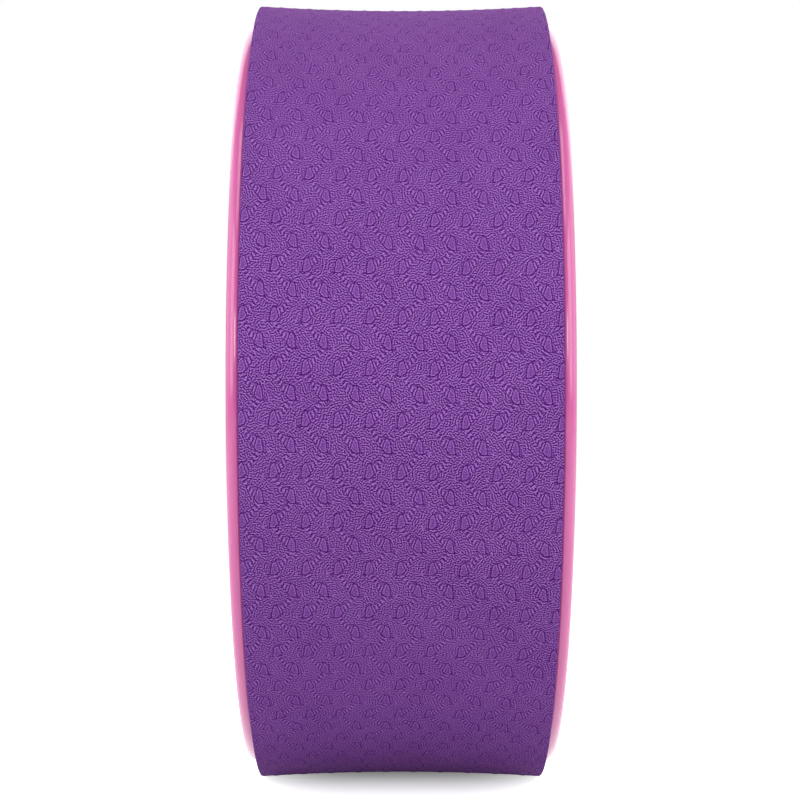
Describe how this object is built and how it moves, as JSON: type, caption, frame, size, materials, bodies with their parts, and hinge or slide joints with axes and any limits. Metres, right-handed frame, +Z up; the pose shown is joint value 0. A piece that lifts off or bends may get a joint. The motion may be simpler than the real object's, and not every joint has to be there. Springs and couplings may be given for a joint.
{
  "type": "yoga wheel",
  "caption": "Wide rigid hoop for yoga stretches and back bends: hollow moulded plastic ring with rounded rims and, in a shallow channel between them, a grippy embossed foam mat with a slightly waisted tread.",
  "frame": {"origin": "centre of the wheel, on its axis at mid-width", "axes": "+Y along the wheel's axis towards the right half, +Z up as the wheel stands on its tread"},
  "size_m": [0.33, 0.128, 0.3299],
  "materials": {
    "pink_plastic": "glossy moulded ABS, coloured through",
    "purple_foam": "matt embossed TPE foam",
    "adhesive": "clear double-sided film"
  },
  "bodies": {
    "root": {"left_half_hoop": "pink_plastic", "right_half_hoop": "pink_plastic", "adhesive_film": "adhesive", "tread_mat": "purple_foam"}
  },
  "joints": []
}
